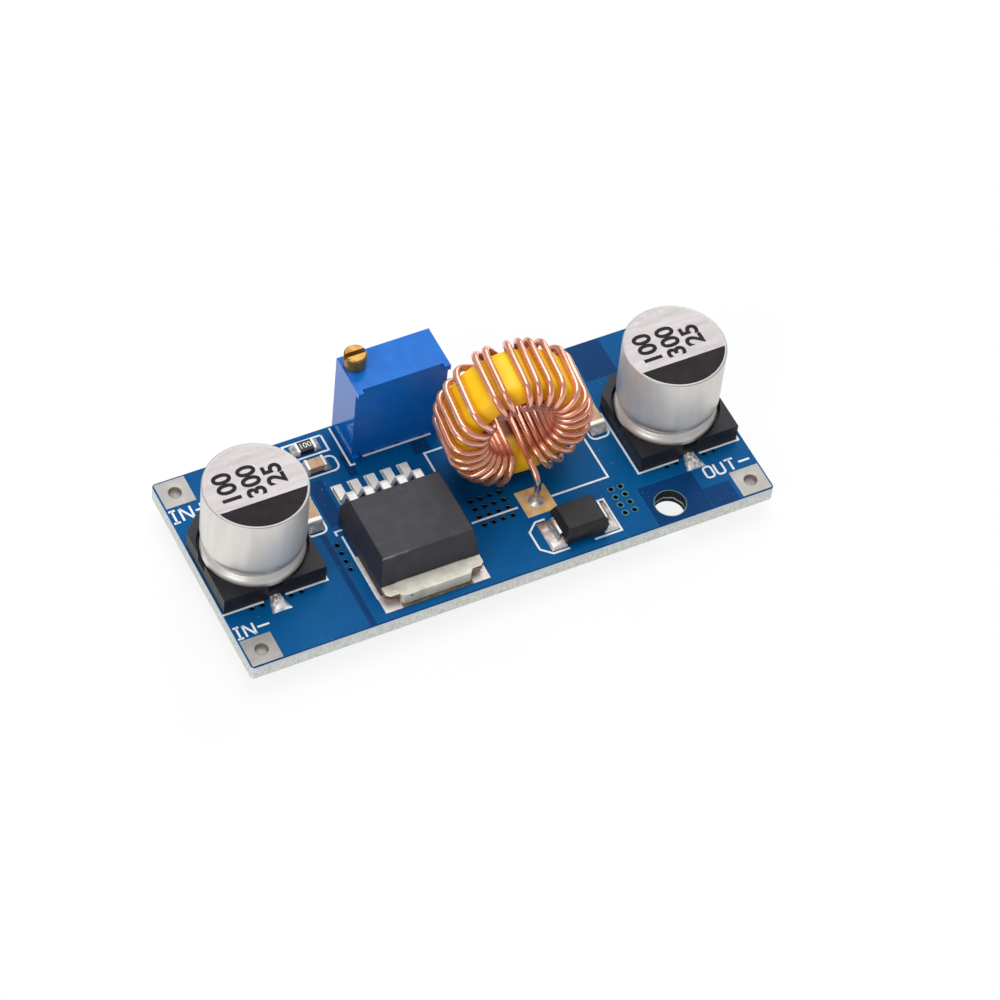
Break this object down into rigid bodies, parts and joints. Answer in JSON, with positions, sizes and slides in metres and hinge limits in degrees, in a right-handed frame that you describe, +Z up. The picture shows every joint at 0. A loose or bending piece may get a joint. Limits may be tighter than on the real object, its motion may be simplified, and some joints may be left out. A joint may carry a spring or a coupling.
{
  "type": "step-down regulator module",
  "caption": "Narrow circuit board with a toroidal inductor, a power regulator, two can capacitors, a rectifier and a trimmer that turns.",
  "frame": {"origin": "under the middle of the board, level with the tips of the through-hole leads", "axes": "+X along the board towards the output end, +Y across it towards the trimmer side, +Z up from the component face"},
  "size_m": [0.054, 0.023, 0.018],
  "materials": {
    "laminate": "blue solder mask over glass laminate, pale sawn sides",
    "tin": "tinned copper",
    "solder": "bright solder",
    "can_aluminium": "satin drawn can",
    "base_plastic": "black moulding",
    "core_yellow": "coated powder-iron ring",
    "enamelled_wire": "enamelled copper wire",
    "bare_copper": "bare land with flux",
    "moulding": "dark grey moulded epoxy",
    "trimmer_blue": "blue moulding",
    "brass_screw": "turned brass",
    "resistor_black": "black glaze",
    "ceramic_tan": "tan ceramic"
  },
  "bodies": {
    "root": {"circuit_board": "laminate", "input_positive_terminal": "tin", "input_negative_terminal": "tin", "output_positive_terminal": "tin", "output_negative_terminal": "tin", "capacitor_solder": "solder", "inductor_core": "core_yellow", "inductor_winding": "enamelled_wire", "inductor_front_pad": "bare_copper", "inductor_rear_pad": "bare_copper", "inductor_solder": "solder", "regulator_body": "moulding", "regulator_tab": "tin", "regulator_solder": "solder", "diode_body": "moulding", "diode_left_lead": "tin", "diode_right_lead": "tin", "diode_solder": "solder", "trimmer_housing": "trimmer_blue", "trimmer_solder": "solder", "chip_solder": "solder", "input_capacitor_can": "can_aluminium", "input_capacitor_base": "base_plastic", "input_capacitor_front_terminal": "tin", "input_capacitor_rear_terminal": "tin", "output_capacitor_can": "can_aluminium", "output_capacitor_base": "base_plastic", "output_capacitor_front_terminal": "tin", "output_capacitor_rear_terminal": "tin", "regulator_lead_1": "tin", "regulator_lead_2": "tin", "regulator_lead_3": "tin", "regulator_lead_4": "tin", "regulator_lead_5": "tin", "trimmer_pin_1": "tin", "trimmer_pin_2": "tin", "trimmer_pin_3": "tin", "chip_resistor_body": "resistor_black", "chip_resistor_ends": "tin", "chip_capacitor_1_body": "ceramic_tan", "chip_capacitor_1_ends": "tin", "chip_capacitor_2_body": "ceramic_tan", "chip_capacitor_2_ends": "tin", "chip_capacitor_3_body": "ceramic_tan", "chip_capacitor_3_ends": "tin"},
    "adjuster": {"trimmer_screw": "brass_screw"}
  },
  "joints": [
    {"name": "adjuster_turn", "type": "hinge", "parent": "root", "child": "adjuster", "pos_m": [-0.00718, 0.01021, 0.0135], "axis": [0, 0, 1], "continuous": true}
  ]
}
